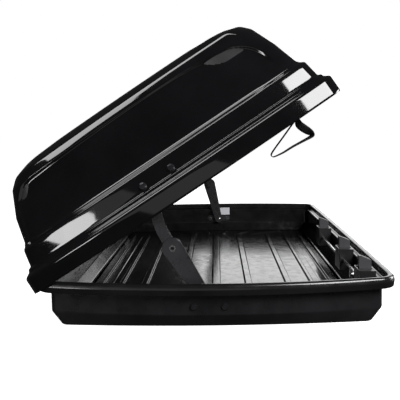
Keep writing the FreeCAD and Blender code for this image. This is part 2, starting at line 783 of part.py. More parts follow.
def make_latch(label, alias):
    x, y = latch_place(alias)
    shell = block(x - HOUSING_HALF_X, x + HOUSING_HALF_X, y - HOUSING_HALF_Y, y + HOUSING_HALF_Y,
                  HOUSING_BOTTOM, HOUSING_TOP)
    room = fuse(
        block(x - 18, x + 18, y - 14, y + 27, HOUSING_BOTTOM + 8, HOUSING_TOP + 1),
        rod((size("bar_x"), y - 40, BAR_Z), (0, 1, 0), size("bar_radius") + 0.3, 80, "sizes.bar_radius + 0.3"),
        rod((x - 30, y, CLAW_PIVOT_Z), (1, 0, 0), 2.5, 60),
    )
    node(cut(shell, room), f"latch_housing_{label}")
    pin = rod((x - HOUSING_HALF_X - 1, y, CLAW_PIVOT_Z), (1, 0, 0), 2.45, 2 * HOUSING_HALF_X + 1.2)
    # The claw: a stem on a cross pin and a nose that leans over the striker when it swings.
    body = new_body(f"latch_claw_{label}")
    profile = plane_sketch(body, "YZ_Plane", x - 16)
    add_polygon(profile, [
        (y - 6, CLAW_PIVOT_Z - 8), (y + 6, CLAW_PIVOT_Z - 8), (y + 6, 134), (y + 17, 134),
        (y + 17, 138), (y + 8, 146), (y - 6, 146),
    ])
    add_circle(profile, y, CLAW_PIVOT_Z, 2.5)
    pad(body, profile, 32)
    slope = plane_sketch(body, "XZ_Plane", -y - 30)
    add_polygon(slope, [(x - 14, 147), (x + 17, 147), (x + 17, 133)])
    pocket(body, slope, 80)
    node(body, f"latch_claw_{label}")
    return pin


def make_lock():
    pins = [make_latch(label, alias) for label, alias in LATCHES]
    node(group(*pins), "claw_pins")
    first, last = size("latch_front"), size("latch_rear")
    start = (size("bar_x"), first - 40, BAR_Z)
    bar = rod(start, (0, 1, 0), size("bar_radius"), last - first + 90, "sizes.bar_radius")
    node(bar, "lock_bar")

    # Housings are screwed to the side wall, with the heads outside it.
    tub = doc.getObject("base_tub")
    holes = plane_sketch(tub, "YZ_Plane", 390)
    screws = []
    for _, alias in LATCHES:
        x, y = latch_place(alias)
        for side in (-22, 22):
            wall_x = side_wall(y + side, size("tub_half_width")) + 0.1
            add_circle(holes, y + side, SCREW_Z, 2.1)
            start = x + HOUSING_HALF_X + 0.1
            shank = rod((start, y + side, SCREW_Z), (1, 0, 0), 2, wall_x - start + 0.6)
            screws.append(fuse(shank, dome((wall_x + 0.2, y + side, SCREW_Z), (1, 0, 0), 4.5, 2)))
    pocket(tub, holes, 30)
    node(group(*screws), "latch_screws")


def make_lock_cylinder():
    """Key lock through the side wall below the rim, with an escutcheon outside and a cam inside."""
    y = (size("latch_front") + size("latch_middle")) / 2
    wall = side_wall(y, size("tub_half_width"))
    escutcheon = tube((wall + 0.7, y, LOCK_Z), (1, 0, 0), 19, 11.3, 4)
    node(escutcheon, "lock_escutcheon")
    barrel = tube((wall - 30, y, LOCK_Z), (1, 0, 0), 11, 8.05, 36)
    node(barrel, "lock_body")
    plug = rod((wall - 32, y, LOCK_Z), (1, 0, 0), 8, 37)
    cam = block(wall - 36, wall - 32, y - 6, y + 6, LOCK_Z - 8, LOCK_Z + 12.4)
    slot = block(wall - 12, wall + 6, y - 1, y + 1, LOCK_Z - 4, LOCK_Z + 4)
    node(cut(fuse(plug, cam), slot), "lock_cylinder")
    blade = block(wall - 11, wall + 6, y - 0.9, y + 0.9, LOCK_Z - 3.8, LOCK_Z + 3.8)
    bow = rod((wall + 17, y - 1.5, LOCK_Z), (0, 1, 0), 12, 3)
    eye = rod((wall + 23, y - 3, LOCK_Z), (0, 1, 0), 3, 6)
    node(cut(fuse(blade, bow), eye), "key")
    tub = doc.getObject("base_tub")
    hole = plane_sketch(tub, "YZ_Plane", 380)
    add_circle(hole, y, LOCK_Z, 11.1)
    pocket(tub, hole, 60)


def make_strikers():
    """On the lid over each latch: a bracket with a cross bar for the claw's nose to hook over."""
    for label, alias in LATCHES:
        x, y = latch_place(alias)
        bar = rod((x - 20, y + 27, STRIKER_Z), (1, 0, 0), 3.5, 41)
        legs = []
        for leg_x in (x - 20, x + 18):
            legs.append(block(leg_x, leg_x + 3, y + 21, y + 33, STRIKER_Z - 5, 160))
        face = side_wall(abs(y) + 54, size("lid_half_width")) - 27 - WALL
        foot = block(x - 20, face, y + 12, y + 54, 157, 160)
        bores = fuse(*[rod((390, y + along, 156), (0, 0, 1), STRIKER_BORE, 6) for along in STRIKER_SCREWS])
        node(cut(fuse(*legs, bar, foot), bores), f"striker_{label}", lid=True)


def make_stiffener():
    """A pressed steel strip along the lid's opening side, which the strikers and the strap hang from."""
    strip = block(378, 408, -530, 530, 160.1, 162)
    fold = block(378, 380, -530, 530, 162, 176)
    places = [size(alias) + along for _, alias in LATCHES for along in STRIKER_SCREWS]
    bores = fuse(*[rod((390, y, 156), (0, 0, 1), STRIKER_BORE, 8) for y in places])
    node(cut(fuse(strip, fold), bores), "lid_front_stiffener", lid=True)
    screws = [screw((390, y, 156.9), (0, 0, -1), 2, 4, 4.5) for y in places]
    node(group(*screws), "striker_screws", lid=True)


STRAP_Y = -422
STRAP_THICK = 2
# The loop's line from its left end to its right end, with the lid open: it hangs and leans to the left.
STRAP_LOOP = [(208, 486), (186, 455), (158, 420), (152, 405), (160, 400), (208, 428), (256, 452), (264, 458),
              (222, 488)]


def make_strap():
    half = size("strap_width") / 2
    bore = rod((388, STRAP_Y, 156), (0, 0, 1), 2.6, 6)
    pad_block = cut(block(377, 399, STRAP_Y - half, STRAP_Y + half, 157.2, 160), bore)
    pad_block.Placement = OPEN.multiply(pad_block.Placement)
    centre = (HINGE.x, HINGE.z)
    start = turn((378.5, 158.4), centre, -size("open_angle"))
    finish = turn((397.5, 158.4), centre, -size("open_angle"))
    line = [start, *STRAP_LOOP, finish]
    bands = [pad_block]
    for (x0, z0), (x1, z1) in zip(line, line[1:]):
        run = math.hypot(x1 - x0, z1 - z0)
        band = doc.addObject("Part::Box", "band")
        band.Length, band.Width, band.Height = run, 2 * half, STRAP_THICK
        band.setExpression("Width", "sizes.strap_width")
        pitch = math.degrees(math.atan2(z1 - z0, x1 - x0))
        place = Placement(Vector(x0, STRAP_Y - half, z0), Rotation(Vector(0, 1, 0), -pitch))
        band.Placement = place.multiply(Placement(Vector(0, 0, -STRAP_THICK / 2), Rotation()))
        bands.append(band)
        bands.append(rod((x1, STRAP_Y - half, z1), (0, 1, 0), STRAP_THICK / 2, 2 * half))
    node(fuse(*bands), "pull_strap")
    node(screw((388, STRAP_Y, 157.1), (0, 0, -1), 2.5, 2, 6), "strap_screw", lid=True)


def make_label():
    """A small blank plate on the rear end wall, beside the arm's foot."""
    node(block(18, 62, 609.6, 610.4, 71, 103), "blank_label")


# --------------------------------------------------------------------- run

make_tub()
make_lid()
make_hinges()
make_arm(-1, "front", 1)
make_arm(1, "rear", -1)
make_lock()
make_lock_cylinder()
make_strikers()
make_stiffener()
make_strap()
make_label()

doc.recompute()
bad = [o.Name for o in doc.Objects if {"Invalid", "Error"} & set(o.State)]
if bad:
    raise RuntimeError(f"failed features: {bad}")
for piece in NODES:
    if piece.Shape.isNull() or not piece.Shape.isValid():
        raise RuntimeError(f"{piece.Label} has no valid shape")

os.makedirs("parts", exist_ok=True)
for piece in NODES:
    piece.Shape.exportStep(f"parts/{piece.Label}.step")
    box = piece.Shape.BoundBox
    print(f"{piece.Label}: {piece.Shape.Volume / 1000:.1f} cm3, {len(piece.Shape.Solids)} solids,"
          f" x {box.XMin:.0f}..{box.XMax:.0f} y {box.YMin:.0f}..{box.YMax:.0f} z {box.ZMin:.0f}..{box.ZMax:.0f}")
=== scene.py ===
import math

import bpy
import numpy as np
from mathutils import Matrix, Vector


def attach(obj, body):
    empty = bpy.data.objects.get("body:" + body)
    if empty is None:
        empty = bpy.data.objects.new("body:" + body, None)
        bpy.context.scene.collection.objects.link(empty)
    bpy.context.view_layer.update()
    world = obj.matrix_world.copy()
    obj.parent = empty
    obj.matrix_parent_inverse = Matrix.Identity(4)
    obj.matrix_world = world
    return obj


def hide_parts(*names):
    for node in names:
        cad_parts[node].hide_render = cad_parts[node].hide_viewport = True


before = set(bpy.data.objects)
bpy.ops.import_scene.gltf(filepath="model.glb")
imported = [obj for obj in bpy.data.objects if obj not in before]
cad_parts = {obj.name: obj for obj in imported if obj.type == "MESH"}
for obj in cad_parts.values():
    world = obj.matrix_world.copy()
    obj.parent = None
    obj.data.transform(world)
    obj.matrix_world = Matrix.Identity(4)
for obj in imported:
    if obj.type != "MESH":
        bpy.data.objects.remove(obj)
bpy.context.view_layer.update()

MM = 0.001
LEFT_AXIS = (-426.0, 91.0)
OPEN_ANGLE = 33.0
SIDE_BOW = 60000.0
END_BOW = 2100.0
FOOT_BOW = 4000.0


# ------------------------------------------------------------------ materials


def material(name, colour, rough, metal=0.0, mottle=0.15, mottle_scale=9.0, grain=0.0,
             grain_scale=900.0, wave=0.0, wave_scale=6.0, rough_spread=0.05, scuff=0.0, weave=0.0):
    """A procedural finish: uneven colour and roughness, fine grain, slow waviness and pale scuffs."""
    mat = bpy.data.materials.new(name)
    mat.use_nodes = True
    tree = mat.node_tree
    nodes, links = tree.nodes, tree.links
    shader = next(n for n in nodes if n.type == "BSDF_PRINCIPLED")
    shader.inputs["Metallic"].default_value = metal
    coord = nodes.new("ShaderNodeTexCoord")

    def noise(scale, detail=4.0, rough_value=0.55):
        node = nodes.new("ShaderNodeTexNoise")
        node.inputs["Scale"].default_value = scale
        node.inputs["Detail"].default_value = detail
        node.inputs["Roughness"].default_value = rough_value
        links.new(coord.outputs["Object"], node.inputs["Vector"])
        return node

    def ramp(source, low, high, low_at=0.3, high_at=0.7):
        node = nodes.new("ShaderNodeMapRange")
        node.inputs["From Min"].default_value = low_at
        node.inputs["From Max"].default_value = high_at
        node.inputs["To Min"].default_value = low
        node.inputs["To Max"].default_value = high
        links.new(source, node.inputs["Value"])
        return node.outputs["Result"]

    cloudy = noise(mottle_scale)
    mix = nodes.new("ShaderNodeMix")
    mix.data_type = "RGBA"
    mix.inputs["A"].default_value = (*[c * (1 - mottle) for c in colour], 1)
    mix.inputs["B"].default_value = (*[min(c * (1 + mottle), 1) for c in colour], 1)
    links.new(ramp(cloudy.outputs["Fac"], 0, 1), mix.inputs["Factor"])
    out_colour = mix.outputs["Result"]
    if scuff:
        marks = noise(55.0, 8.0, 0.75)
        worn = nodes.new("ShaderNodeMix")
        worn.data_type = "RGBA"
        worn.inputs["B"].default_value = (*[min(c * 2.5 + 0.05, 1) for c in colour], 1)
        links.new(ramp(marks.outputs["Fac"], 0, scuff, 0.62, 0.75), worn.inputs["Factor"])
        links.new(out_colour, worn.inputs["A"])
        out_colour = worn.outputs["Result"]
    links.new(out_colour, shader.inputs["Base Color"])
    streaks = noise(mottle_scale * 4.0, 6.0)
    links.new(ramp(streaks.outputs["Fac"], max(rough - rough_spread, 0.02), rough + rough_spread),
              shader.inputs["Roughness"])

    height = None

    def add_bump(source, strength, distance):
        nonlocal height
        bump = nodes.new("ShaderNodeBump")
        bump.inputs["Strength"].default_value = strength
        bump.inputs["Distance"].default_value = distance
        links.new(source, bump.inputs["Height"])
        if height is not None:
            links.new(height, bump.inputs["Normal"])
        height = bump.outputs["Normal"]

    if wave:
        add_bump(noise(wave_scale, 2.0, 0.4).outputs["Fac"], wave, 0.004)
    if grain:
        add_bump(noise(grain_scale, 3.0).outputs["Fac"], grain, 0.0004)
    if weave:
        bands = []
        for direction in ("X", "Y"):
            wave_node = nodes.new("ShaderNodeTexWave")
            wave_node.bands_direction = direction
            wave_node.inputs["Scale"].default_value = weave
            links.new(coord.outputs["UV"], wave_node.inputs["Vector"])
            bands.append(wave_node)
        join = nodes.new("ShaderNodeMath")
        join.operation = "MAXIMUM"
        links.new(bands[0].outputs["Fac"], join.inputs[0])
        links.new(bands[1].outputs["Fac"], join.inputs[1])
        add_bump(join.outputs["Value"], 0.6, 0.0006)
    if height is not None:
        links.new(height, shader.inputs["Normal"])
    return mat


GLOSS = material("gloss_abs", (0.0035, 0.0035, 0.004), 0.045, mottle=0.25, rough_spread=0.015,
                 wave=0.012, wave_scale=4.0)
INSIDE = material("lid_inside_abs", (0.010, 0.010, 0.011), 0.42, mottle=0.3, grain=0.25, grain_scale=700.0)
TUB_OUTSIDE = material("tub_outside_abs", (0.010, 0.010, 0.011), 0.30, mottle=0.3, rough_spread=0.05,
                       wave=0.06, wave_scale=12.0, grain=0.12, grain_scale=420.0)
TUB = material("tub_abs", (0.007, 0.007, 0.0075), 0.19, mottle=0.35, rough_spread=0.06, wave=0.10,
               wave_scale=14.0, grain=0.12, grain_scale=420.0, scuff=0.05)
MOULDED = material("moulded_black", (0.012, 0.012, 0.013), 0.34, mottle=0.3, grain=0.3, grain_scale=1100.0)
GREY = material("moulded_grey", (0.05, 0.05, 0.053), 0.34, mottle=0.08, grain=0.25, grain_scale=900.0)
STEEL = material("painted_steel", (0.024, 0.024, 0.026), 0.28, mottle=0.3, grain=0.35, grain_scale=1500.0,
                 scuff=0.12)
ZINC = material("zinc_plate", (0.55, 0.55, 0.56), 0.26, metal=1.0, mottle=0.12, mottle_scale=60.0,
                grain=0.15, grain_scale=1600.0)
WEBBING = material("nylon_webbing", (0.012, 0.012, 0.013), 0.62, mottle=0.3, mottle_scale=80.0, weave=1.0)
LABEL = material("blank_label", (0.62, 0.63, 0.66), 0.35, mottle=0.05)
BOLT = material("black_oxide", (0.03, 0.03, 0.033), 0.20, metal=0.6, mottle=0.3, mottle_scale=90.0,
                scuff=0.1)


# -------------------------------------------------------------- shape helpers


def open_lid(points):
    """Turns points in millimetres from the shut lid to the open one."""
    a = math.radians(OPEN_ANGLE)
    hx, hz = LEFT_AXIS
    dx, dz = points[:, 0] - hx, points[:, 2] - hz
    out = points.copy()
    out[:, 0] = hx + dx * math.cos(a) - dz * math.sin(a)
    out[:, 2] = hz + dx * math.sin(a) + dz * math.cos(a)
    return out


def outline(half_w, half_l, corner, side_n, corner_n, end_steps, end_bow=END_BOW):
    """Bowed rounded rectangle and its outward normals, anticlockwise from the middle of the +X side.

    end_steps are places along each end as fractions of its half width, from +1 to -1.
    """
    side = np.array([half_w - SIDE_BOW, 0.0])
    end = np.array([0.0, half_l - end_bow])
    reach = end - side
    length = np.hypot(*reach)
    unit = reach / length
    r1, r2 = SIDE_BOW - corner, end_bow - corner
    along = (length ** 2 + r1 ** 2 - r2 ** 2) / (2 * length)
    across = math.sqrt(r1 ** 2 - along ** 2)
    mid = side + unit * along + np.array([-unit[1], unit[0]]) * across
    a1 = math.atan2(mid[1] - side[1], mid[0] - side[0])
    a2 = math.atan2(mid[1] - end[1], mid[0] - end[0])
    points, normals = [], []

    def add(centre, radius, angle):
        n = np.array([math.cos(angle), math.sin(angle)])
        points.append(centre + radius * n)
        normals.append(n)

    for t in np.linspace(-a1, a1, side_n, endpoint=False):
        add(side, SIDE_BOW, t)
    for t in np.linspace(a1, a2, corner_n, endpoint=False):
        add(mid, corner, t)
    reach_x = math.cos(a2)
    for f in end_steps[:-1]:
        add(end, end_bow, math.acos(f * reach_x))
    for t in np.linspace(math.pi - a2, math.pi - a1, corner_n, endpoint=False):
        add(mid * [-1, 1], corner, t)
    n = len(points)
    for i in range(n):
        points.append(-points[i])
        normals.append(-normals[i])
    return np.array(points), np.array(normals)


def rounded(line, radii, steps=6):
    """Rounds each inner corner of a 3-column line (height, inset, corner radius) by its own radius."""
    line = np.array(line, float)
    out = [line[0]]
    for i in range(1, len(line) - 1):
        a, b, c = line[i - 1], line[i], line[i + 1]
        r = radii[i]
        la, lc = np.hypot(*(a - b)[:2]), np.hypot(*(c - b)[:2])
        ua, uc = (a - b) / la, (c - b) / lc
        cosine = np.clip(np.dot(ua[:2], uc[:2]), -1, 1)
        half = math.acos(cosine) / 2
        cut = min(r / math.tan(half), la * 0.48, lc * 0.48) if r else 0
        if cut < 0.05:
            out.append(b)
            continue
        p, q = b + ua * cut, b + uc * cut
        for t in np.linspace(0, 1, steps):
            out.append(p * (1 - t) ** 2 + b * 2 * t * (1 - t) + q * t ** 2)
    out.append(line[-1])
    return np.array(out)


def subdivide(line, longest):
    out = [line[0]]
    for a, b in zip(line, line[1:]):
        n = max(1, int(math.ceil(np.hypot(*(b - a)[:2]) / longest)))
        for t in np.linspace(0, 1, n + 1)[1:]:
            out.append(a + (b - a) * t)
    return np.array(out)


def ring_faces(n, rows, closed=True, first=0, flip=False):
    """Quads between successive rings of n points."""
    faces = []
    for r in range(rows - 1):
        for i in range(n if closed else n - 1):
            j = (i + 1) % n
            a = first + r * n
            face = (a + i, a + j, a + n + j, a + n + i)
            faces.append(face[::-1] if flip else face)
    return faces


def build(name, verts, faces, mats, body, replaces=(), face_mats=None, uvs=None):
    """Makes one smooth-shaded piece from points in millimetres, and says what it rides on and replaces."""
    mesh = bpy.data.meshes.new(name)
    mesh.from_pydata([tuple(float(c) * MM for c in v) for v in verts], [], faces)
    mesh.validate()
    obj = bpy.data.objects.new(name, mesh)
    bpy.context.scene.collection.objects.link(obj)
    for mat in mats:
        mesh.materials.append(mat)
    if face_mats is not None:
        mesh.polygons.foreach_set("material_index", face_mats)
    mesh.polygons.foreach_set("use_smooth", [True] * len(mesh.polygons))
    if uvs is not None:
        layer = mesh.uv_layers.new(name="weave")
        for loop in mesh.loops:
            layer.data[loop.index].uv = uvs[loop.vertex_index]
    mesh.update()
    if replaces:
        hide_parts(*replaces)
    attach(obj, body)
    return obj


# ------------------------------------------------------------------------ lid

LID_W, LID_L, SKIRT_Z = 452.0, 654.0, 95.0
# Height above the skirt's edge, inset, corner radius, and the radius that rounds each corner.
LID_LINE = [
    (0, 0, 50, 0), (42, 1.5, 49, 11), (50, 15, 40, 6), (57, 18, 38, 4), (60, 25, 36, 4),
    (103, 32, 36, 9), (112, 48, 36, 30), (180, 68, 42, 60), (246, 92, 50, 34), (270, 110, 60, 30),
    (286, 140, 80, 50), (294, 185, 100, 60), (299, 300, 120, 0),
]
CROWN_AT = (103.0, 112.0, 180.0)
CROWN_WIDER = (0.0, 6.0, 12.0)
CROWN_SHIFT = (0.0, -4.0, -8.0)
LID_RADII = [row[3] for row in LID_LINE]
SHELL = 3.0
ROOF_FROM = 279  # above this height the inner skin is lowered rather than only set in
SIDE_STEPS, CORNER_STEPS = 24, 16
CROWN_RISE = 2.5
# The panel pressed into each end wall: depth, width of its sloping edge, corner radius, and the height
# where its left and right edges are placed.
PANEL_STEP = 6.5
PANEL_EDGE = 11.0
PANEL_CORNER = 62.0
PANEL_FOOT = 112


def end_fractions(dense):
    """Places along an end wall, from +1 to -1, closer together where panel edges run."""
    places = [1.0]
    while places[-1] > -1:
        f = places[-1]
        places.append(f - (0.0075 if dense and 0.74 < abs(f) < 0.99 else 0.03))
    places[-1] = -1.0
    return places


def smoothstep(t):
    t = np.clip(t, 0, 1)
    return t * t * (3 - 2 * t)


def panel_depth(x, v):
    """How deep the end wall is pressed in at a place across the wall and a height above the skirt."""
    left = -402 + (v - PANEL_FOOT) * 0.29
    right = 368 - (v - PANEL_FOOT) * 0.30
    top = 248 + 6 * (1 - (x / 330.0) ** 2) - 12 * smoothstep((x - 120) / 200.0)
    dx = np.minimum(x - left, right - x)
    dv = top - v
    cx, cv = PANEL_CORNER - dx, PANEL_CORNER - dv
    in_corner = PANEL_CORNER - np.hypot(np.maximum(cx, 0), np.maximum(cv, 0))
    inside = np.where((cx > 0) & (cv > 0), in_corner, np.minimum(dx, dv))
    depth = smoothstep(inside / PANEL_EDGE)
    fade_right = 1 - smoothstep((x - 250) / 60.0) * (1 - smoothstep((v - 128) / 45.0))
    return PANEL_STEP * depth * smoothstep((v - 100) / 16.0) * fade_right


def lid_ring(v, inset, corner, ends):
    """One level ring of the lid; the crown is wider and set towards the hinge side."""
    wider = np.interp(v, CROWN_AT, CROWN_WIDER)
    pts, nrm = outline(LID_W - inset + wider, LID_L - inset, corner, SIDE_STEPS, CORNER_STEPS, ends)
    pts = pts + np.array([np.interp(v, CROWN_AT, CROWN_SHIFT), 0.0])
    depth = panel_depth(pts[:, 0], v) * np.where(np.abs(nrm[:, 1]) > 0.9, 1, 0)
    pts = pts - nrm * depth[:, None]
    return np.column_stack([pts, np.full(len(pts), SKIRT_Z + v)])


def crown_ring(top, t, below=0.0):
    """The walls' last ring drawn in towards the middle by a factor t, and raised to crown the top."""
    ring = top.copy()
    ring[:, :2] *= t
    ring[:, 2] += CROWN_RISE * (1 - t * t) - below
    return ring


def make_lid():
    """One closed skin: rings up the outside to the crown, and back down the inside to the skirt."""
    ends = end_fractions(True)
    shape = [row[:3] for row in LID_LINE]
    rings = [lid_ring(v, inset, corner, ends)
             for v, inset, corner in subdivide(rounded(shape, LID_RADII), 6.0)]
    top = rings[-1]
    rings += [crown_ring(top, t) for t in (0.86, 0.72, 0.58, 0.44, 0.3, 0.16)]
    outer_last = len(rings) - 1
    inner_top = rings[-1].copy()
    inner_top[:, 2] -= SHELL
    rings.append(inner_top)
    rings += [crown_ring(top, t, below=SHELL) for t in (0.44, 0.72)]
    for v, inset, corner in rounded(shape, LID_RADII, steps=4)[::-1]:
        level = max(v - (SHELL if v > ROOF_FROM else 0), 0)
        rings.append(lid_ring(level, inset + SHELL, corner - SHELL, ends))
    counts, rows = len(top), len(rings)
    verts = np.vstack(rings)
    faces, mats = [], []
    for r in range(rows):
        nxt = (r + 1) % rows
        if r == outer_last:
            continue
        for i in range(counts):
            j = (i + 1) % counts
            faces.append((r * counts + i, r * counts + j, nxt * counts + j, nxt * counts + i))
            mats.append(0 if r < outer_last or r == rows - 1 else 1)
    faces.append(tuple(outer_last * counts + i for i in range(counts)))
    mats.append(0)
    faces.append(tuple((outer_last + 1) * counts + i for i in reversed(range(counts))))
    mats.append(1)
    return build("lid_skin", open_lid(verts), faces, [GLOSS, INSIDE], "lid",
                 replaces=["lid_shell"], face_mats=mats)


make_lid()


# ------------------------------------------------------------------------ tub

# Height, half width, corner radius and rounding, from the outer foot over the rim to the inner foot.
TUB_LINE = [
    (0, 383, 16, 0), (0, 390, 20, 6), (35, 414, 20, 9), (95, 414, 20, 1.5), (95, 430, 36, 0.5),
    (115, 430, 36, 2), (115, 438, 44, 3), (91, 439.5, 45.5, 0.8), (91, 442, 48, 1.2), (105, 444, 50, 9),
    (118, 441, 47, 12), (118, 426, 32, 8.8), (99, 426, 32, 4), (98, 411, 17, 4), (36, 411, 17, 10),
    (3, 388, 19, 9), (3, 376, 14, 0),
]
RIM_W, RIM_LONGER = 444, 202  # the rim's half width, and how much more its half length is
CHAMFER_TOP = 35.0
OUTSIDE_W, OUTSIDE_TOP = 383, 97  # the wall below the rim has the outside finish between these
RIBS = ((0, 24), (98, 20), (219, 18), (291, 12), (353, 14))
FAN = ((-150, 156), (-90, 128), (-30, 102), (30, 78), (90, 52), (150, 24))
RIB_HALF, RIB_HEIGHT = 470.0, 6.0
STRIPS = (-330, 330)
FLOOR_Z = 3.0
HINGE_LIP_BOTTOM = 104.0


def make_tub_wall():
    """The wall, chamfer and rim as one closed loop of section, carried round the tub."""
    ends = end_fractions(False)
    rows = rounded([row[:3] for row in TUB_LINE], [row[3] for row in TUB_LINE], steps=7)
    verts = []
    for z, half_w, corner in rows:
        shorter = (RIM_W - half_w) / 30.0
        rise = min(z / CHAMFER_TOP, 1.0)
        bow = 1.0 / ((1 - rise) / FOOT_BOW + rise / END_BOW)
        pts, _ = outline(half_w, half_w + RIM_LONGER - shorter, corner, 30, CORNER_STEPS, ends, bow)
        level = np.full(len(pts), z)
        if half_w > 432 and z < HINGE_LIP_BOTTOM:
            # The lip is cut short on the hinge side, where the hinge leaves pass.
            cut = (pts[:, 0] < -430) & (np.abs(pts[:, 1]) < 540)
            level[cut] = HINGE_LIP_BOTTOM
        verts.append(np.column_stack([pts, level]))
    n = len(verts[0])
    verts = np.vstack(verts)
    faces = ring_faces(n, len(rows))
    outer = []
    for row, (z, half_w, _) in enumerate(rows):
        outside = half_w > OUTSIDE_W and z < OUTSIDE_TOP and row < len(rows) // 3
        outer += [int(outside)] * n
    outer = outer[:len(faces)]
    return build("tub_wall", verts, faces, [TUB, TUB_OUTSIDE], "base", replaces=["base_tub"],
                 face_mats=outer)


def rib_profile(d, half, edge=4.0):
    """1 on a rib and 0 beside it, at a distance d from its middle."""
    return smoothstep((half - np.abs(d)) / edge + 0.5)


def floor_height(x, y):
    """How far the ribs, the fans at each arm's foot and the clamp strips stand above the floor."""
    h = np.zeros_like(x)
    for rx, width in RIBS:
        for s in ({rx, -rx}):
            ends = smoothstep((RIB_HALF - np.abs(y)) / 10.0 + 0.5)
            h = np.maximum(h, RIB_HEIGHT * rib_profile(x - s, width / 2) * ends)
    for end in (-1, 1):
        for fx, angle in FAN:
            run = 85 / max(math.sin(math.radians(angle)), 0.6)
            a = math.radians(angle) * end
            dx, dy = x - fx, y - end * (RIB_HALF + 12)
            u = dx * math.cos(a) + dy * math.sin(a)
            w = -dx * math.sin(a) + dy * math.cos(a)
            across, along = rib_profile(w, 6), rib_profile(u - run * 0.5, run * 0.5 + 2, 8.0)
            h = np.maximum(h, 5.5 * across * along)
    ends = smoothstep((RIB_HALF - np.abs(y)) / 4.0 + 0.5)
    for s in STRIPS:
        h = np.maximum(h, 1.5 * rib_profile(x - s, 12, 2.0) * ends)
    return h


def floor_columns(half_w):
    """Places across the floor, closer together at the edges of the ribs and strips."""
    xs = set(np.linspace(-half_w + 0.5, half_w - 0.5, 90).round(2))
    for rx, width in RIBS:
        for s in ({rx, -rx}):
            for off in (-3, -2, -1, 0, 1, 2, 3):
                for side in (-1, 1):
                    xs.add(round(s + side * width / 2 + off, 2))
    for s in STRIPS:
        for off in (10.5, 11.5, 12.5, 13.5):
            xs.update((s - off, s + off))
    xs = sorted(xs)
    keep = [xs[0]]
    for x in xs[1:]:
        if x - keep[-1] > 0.6:
            keep.append(x)
    return np.array(keep)


def make_floor():
    """The floor as a closed sheet, with its ribs raised above and hollow below."""
    half_w, half_l, corner = 386.0, 586.5, 18.0
    xs = floor_columns(half_w)
    ring, _ = outline(half_w, half_l, corner, 400, 60, np.linspace(1, -1, 400), FOOT_BOW)
    upper = ring[ring[:, 1] >= 0]
    upper = upper[np.argsort(upper[:, 0])]
    edge = np.interp(xs, upper[:, 0], upper[:, 1])
    fine = np.linspace(0.78, 1.0, 34)
    ts = np.concatenate([-fine[::-1], np.linspace(-0.78, 0.78, 26)[1:-1], fine])
    top, bottom = [], []
    for t in ts:
        y = edge * t
        h = floor_height(xs, y)
        top.append(np.column_stack([xs, y, FLOOR_Z + h]))
        ends = smoothstep((RIB_HALF - 3 - np.abs(y)) / 4.0 + 0.5)
        hollow = np.where(h > 5.6, RIB_HEIGHT, 0.0) * ends
        bottom.append(np.column_stack([xs, y, hollow * 0.97]))
    n, rows = len(xs), len(ts)
    verts = np.vstack(top + bottom)
    faces = ring_faces(n, rows, closed=False)
    faces += ring_faces(n, rows, closed=False, first=n * rows, flip=True)
    total = n * rows
    border = [(0, c) for c in range(n)] + [(r, n - 1) for r in range(1, rows)]
    border += [(rows - 1, c) for c in range(n - 2, -1, -1)] + [(r, 0) for r in range(rows - 2, 0, -1)]
    ids = [r * n + c for r, c in border]
    for a, b in zip(ids, ids[1:] + ids[:1]):
        faces.append((b, a, a + total, b + total))
    return build("tub_floor", verts, faces, [TUB], "base", replaces=["base_tub"])


make_tub_wall()
make_floor()


# ---------------------------------------------------------------------- strap

STRAP_Y = -422.0
WEAVE_PER_MM = 0.09
# The loop that shows with the lid open: x, z, and how far the webbing is twisted out of the box's length.
STRAP = [
    (220, 500, 0), (207, 484, 0), (186, 455, 0), (163, 424, 0), (153, 408, 0), (155, 401.5, 0),
    (163, 402, 0), (185, 412, 2), (208, 426, 4), (232, 439, 6), (254, 450.5, 10), (262.5, 457, 18),
    (260, 463, 34), (250, 470, 52), (238, 478, 58), (228, 487, 50), (224, 500, 20),
]


def catmull(points, per):
    """A smooth line through the points, with per steps between each two."""
    points = np.array(points, float)
    out = []
    for i in range(len(points) - 1):
        p0 = points[max(i - 1, 0)]
        p1, p2 = points[i], points[i + 1]
        p3 = points[min(i + 2, len(points) - 1)]
        for t in np.linspace(0, 1, per, endpoint=False):
            out.append(0.5 * (2 * p1 + (p2 - p0) * t + (2 * p0 - 5 * p1 + 4 * p2 - p3) * t * t
                              + (3 * p1 - p0 - 3 * p2 + p3) * t ** 3))
    out.append(points[-1])
    return np.array(out)


def make_strap():
    """A flat woven band with rounded edges, carried along the loop's line."""
    line = catmull(STRAP, 8)
    half, thick = 12.0, 0.9
    crown = thick * 1.05
    section = [(-half, -thick), (-half * 0.5, -crown), (0, -crown), (half * 0.5, -crown), (half, -thick),
               (half + 0.5, 0), (half, thick), (half * 0.5, crown), (0, crown), (-half * 0.5, crown),
               (-half, thick), (-half - 0.5, 0)]
    tangents = np.gradient(line[:, :2], axis=0)
    tangents /= np.linalg.norm(tangents, axis=1)[:, None]
    verts, uvs = [], []
    run = 0.0
    for i, (x, z, twist) in enumerate(line):
        if i:
            run += np.hypot(*(line[i, :2] - line[i - 1, :2]))
        tx, tz = tangents[i]
        normal = np.array([-tz, 0, tx])
        wide = np.array([0, 1.0, 0])
        a = math.radians(twist)
        face = wide * math.cos(a) + normal * math.sin(a)
        up = normal * math.cos(a) - wide * math.sin(a)
        for w, t in section:
            verts.append(np.array([x, STRAP_Y, z]) + face * w + up * t)
            uvs.append((w * WEAVE_PER_MM, run * WEAVE_PER_MM))
    n = len(section)
    faces = ring_faces(n, len(line))
    faces.append(tuple(reversed(range(n))))
    faces.append(tuple((len(line) - 1) * n + k for k in range(n)))
    return build("strap_webbing", verts, faces, [WEBBING], "lid", replaces=["pull_strap"],
                 uvs=uvs)


make_strap()


# ------------------------------------------------------------------ CAD nodes

